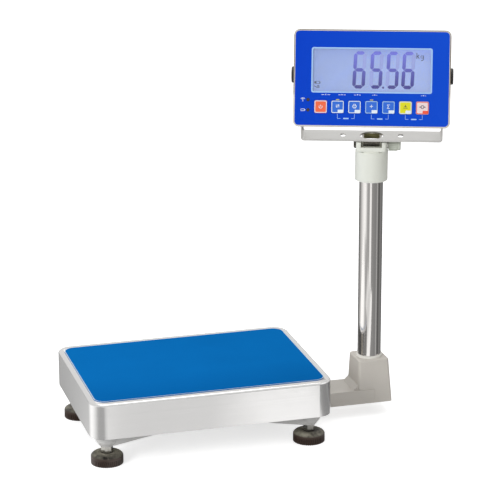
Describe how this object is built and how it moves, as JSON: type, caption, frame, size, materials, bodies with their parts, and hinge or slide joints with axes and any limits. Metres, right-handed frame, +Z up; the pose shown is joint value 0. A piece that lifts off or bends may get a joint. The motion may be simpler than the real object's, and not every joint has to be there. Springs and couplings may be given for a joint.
{
  "type": "platform scale",
  "caption": "Bench platform scale: a deep steel pan with a blue mat on screw feet, and a side column with a swivelling, tilting indicator that has a display and a row of square keys.",
  "frame": {"origin": "on the floor, midway between the four levelling feet, with the feet fully screwed in", "axes": "+X along the pan towards the column, +Y away from the user, +Z up"},
  "size_m": [0.6254, 0.289, 0.6582],
  "materials": {
    "pan_steel": "fine brushed stainless sheet",
    "mat_blue": "thin blue mat, pale edge",
    "foot_rubber": "black moulded rubber",
    "zinc_screw": "bright zinc plate",
    "frame_paint": "grey paint on an aluminium casting",
    "cell_alloy": "milled alloy",
    "spacer_steel": "ground plate",
    "black_rubber": "soft black rubber",
    "arm_paint": "warm grey satin paint on a casting",
    "grub_steel": "black oxide",
    "white_plastic": "white moulded plastic, satin",
    "tube_steel": "polished stainless tube",
    "knob_grey": "grey moulded plastic",
    "brass": "plain brass",
    "bracket_steel": "satin stainless sheet",
    "passivated_zinc": "olive passivated zinc plate",
    "fibre": "red-brown fibre",
    "case_cream": "cream moulded plastic, fine texture",
    "film_blue": "printed blue film",
    "window_clear": "clear pane",
    "lcd": "lilac liquid crystal display",
    "board_green": "solder mask",
    "lamp": "tinted lamp",
    "battery_case": "dark moulded case",
    "black_plastic": "black moulded plastic",
    "key_orange": "orange key, satin",
    "key_blue": "blue key, satin",
    "key_yellow": "yellow key, satin",
    "key_pale": "pale key, satin"
  },
  "bodies": {
    "base": {"base_frame": "frame_paint", "load_cell": "cell_alloy", "load_cell_spacers": "spacer_steel", "load_cell_screws": "zinc_screw", "upper_frame": "frame_paint", "deck_pads": "black_rubber", "overload_stops": "zinc_screw", "overload_nuts": "zinc_screw", "column_arm": "arm_paint", "column_arm_bolts": "zinc_screw", "tube_clamp_screws": "grub_steel", "column_collar": "white_plastic", "column_tube": "tube_steel", "cable_grommet": "black_rubber"},
    "pan": {"pan": "pan_steel", "pan_mat": "mat_blue"},
    "foot_front_left": {"foot_pad_front_left": "foot_rubber"},
    "spindle_front_left": {"foot_screw_front_left": "zinc_screw"},
    "foot_front_right": {"foot_pad_front_right": "foot_rubber"},
    "spindle_front_right": {"foot_screw_front_right": "zinc_screw"},
    "foot_back_left": {"foot_pad_back_left": "foot_rubber"},
    "spindle_back_left": {"foot_screw_back_left": "zinc_screw"},
    "foot_back_right": {"foot_pad_back_right": "foot_rubber"},
    "spindle_back_right": {"foot_screw_back_right": "zinc_screw"},
    "head": {"pole_head": "white_plastic", "head_clamp_screw": "grub_steel", "pivot_bolt": "tube_steel", "pivot_washer": "zinc_screw"},
    "tilt_knob": {"tilt_knob": "knob_grey", "tilt_knob_insert": "brass"},
    "bracket": {"indicator_bracket": "bracket_steel", "lug_bridge": "passivated_zinc", "lug_washers": "fibre", "side_washers": "black_rubber"},
    "indicator": {"front_case": "case_cream", "front_overlay": "film_blue", "display_window": "window_clear", "lcd_panel": "lcd", "lcd_holder": "white_plastic", "key_board": "board_green", "status_lamps": "lamp", "case_gasket": "black_rubber", "rear_case": "case_cream", "side_inserts": "brass", "case_screws": "zinc_screw", "main_board": "board_green", "battery": "battery_case", "signal_gland": "black_plastic", "power_socket": "black_plastic"},
    "left_side_knob": {"left_side_knob": "black_plastic", "left_side_knob_screw": "zinc_screw"},
    "right_side_knob": {"right_side_knob": "black_plastic", "right_side_knob_screw": "zinc_screw"},
    "key_1": {"key_1": "key_orange"},
    "key_2": {"key_2": "key_blue"},
    "key_3": {"key_3": "key_blue"},
    "key_4": {"key_4": "key_blue"},
    "key_5": {"key_5": "key_blue"},
    "key_6": {"key_6": "key_yellow"},
    "key_7": {"key_7": "key_pale"}
  },
  "joints": [
    {"name": "pan_lift", "type": "slide", "parent": "base", "child": "pan", "axis": [0, 0, 1], "range_m": [0, 0.12]},
    {"name": "front_left_foot_height", "type": "slide", "parent": "base", "child": "foot_front_left", "axis": [0, 0, -1], "range_m": [0, 0.014]},
    {"name": "front_left_spindle_turn", "type": "hinge", "parent": "foot_front_left", "child": "spindle_front_left", "pos_m": [-0.1685, -0.106, 0.025], "axis": [0, 0, -1], "range_deg": [0, 3361]},
    {"name": "front_right_foot_height", "type": "slide", "parent": "base", "child": "foot_front_right", "axis": [0, 0, -1], "range_m": [0, 0.014]},
    {"name": "front_right_spindle_turn", "type": "hinge", "parent": "foot_front_right", "child": "spindle_front_right", "pos_m": [0.1685, -0.106, 0.025], "axis": [0, 0, -1], "range_deg": [0, 3361]},
    {"name": "back_left_foot_height", "type": "slide", "parent": "base", "child": "foot_back_left", "axis": [0, 0, -1], "range_m": [0, 0.014]},
    {"name": "back_left_spindle_turn", "type": "hinge", "parent": "foot_back_left", "child": "spindle_back_left", "pos_m": [-0.1685, 0.106, 0.025], "axis": [0, 0, -1], "range_deg": [0, 3361]},
    {"name": "back_right_foot_height", "type": "slide", "parent": "base", "child": "foot_back_right", "axis": [0, 0, -1], "range_m": [0, 0.014]},
    {"name": "back_right_spindle_turn", "type": "hinge", "parent": "foot_back_right", "child": "spindle_back_right", "pos_m": [0.1685, 0.106, 0.025], "axis": [0, 0, -1], "range_deg": [0, 3361]},
    {"name": "head_swivel", "type": "hinge", "parent": "base", "child": "head", "pos_m": [0.307, 0, 0.43], "axis": [0, 0, 1], "range_deg": [-160, 160]},
    {"name": "tilt_knob_turn", "type": "hinge", "parent": "head", "child": "tilt_knob", "pos_m": [0.307, 0, 0.463], "axis": [0.9397, -0.342, 0], "continuous": true},
    {"name": "bracket_tilt", "type": "hinge", "parent": "head", "child": "bracket", "pos_m": [0.307, 0, 0.463], "axis": [-0.9397, 0.342, 0], "range_deg": [-4, 34]},
    {"name": "indicator_tilt", "type": "hinge", "parent": "bracket", "child": "indicator", "pos_m": [0.29984, -0.01968, 0.58183], "axis": [-0.9397, 0.342, 0], "range_deg": [-20, 60]},
    {"name": "left_side_knob_turn", "type": "hinge", "parent": "indicator", "child": "left_side_knob", "pos_m": [0.29984, -0.01968, 0.58183], "axis": [-0.9397, 0.342, 0], "continuous": true},
    {"name": "right_side_knob_turn", "type": "hinge", "parent": "indicator", "child": "right_side_knob", "pos_m": [0.29984, -0.01968, 0.58183], "axis": [0.9397, -0.342, 0], "continuous": true},
    {"name": "key_1_press", "type": "slide", "parent": "indicator", "child": "key_1", "axis": [0.3304, 0.9077, -0.2588], "range_m": [0, 0.0008], "stiffness_N_per_m": 800, "springref_m": -0.002},
    {"name": "key_2_press", "type": "slide", "parent": "indicator", "child": "key_2", "axis": [0.3304, 0.9077, -0.2588], "range_m": [0, 0.0008], "stiffness_N_per_m": 800, "springref_m": -0.002},
    {"name": "key_3_press", "type": "slide", "parent": "indicator", "child": "key_3", "axis": [0.3304, 0.9077, -0.2588], "range_m": [0, 0.0008], "stiffness_N_per_m": 800, "springref_m": -0.002},
    {"name": "key_4_press", "type": "slide", "parent": "indicator", "child": "key_4", "axis": [0.3304, 0.9077, -0.2588], "range_m": [0, 0.0008], "stiffness_N_per_m": 800, "springref_m": -0.002},
    {"name": "key_5_press", "type": "slide", "parent": "indicator", "child": "key_5", "axis": [0.3304, 0.9077, -0.2588], "range_m": [0, 0.0008], "stiffness_N_per_m": 800, "springref_m": -0.002},
    {"name": "key_6_press", "type": "slide", "parent": "indicator", "child": "key_6", "axis": [0.3304, 0.9077, -0.2588], "range_m": [0, 0.0008], "stiffness_N_per_m": 800, "springref_m": -0.002},
    {"name": "key_7_press", "type": "slide", "parent": "indicator", "child": "key_7", "axis": [0.3304, 0.9077, -0.2588], "range_m": [0, 0.0008], "stiffness_N_per_m": 800, "springref_m": -0.002}
  ],
  "couplings": [
    {"joint": "front_left_spindle_turn", "follows": "front_left_foot_height", "rad_per_m": 4188.8},
    {"joint": "front_right_spindle_turn", "follows": "front_right_foot_height", "rad_per_m": 4188.8},
    {"joint": "back_left_spindle_turn", "follows": "back_left_foot_height", "rad_per_m": 4188.8},
    {"joint": "back_right_spindle_turn", "follows": "back_right_foot_height", "rad_per_m": 4188.8}
  ]
}
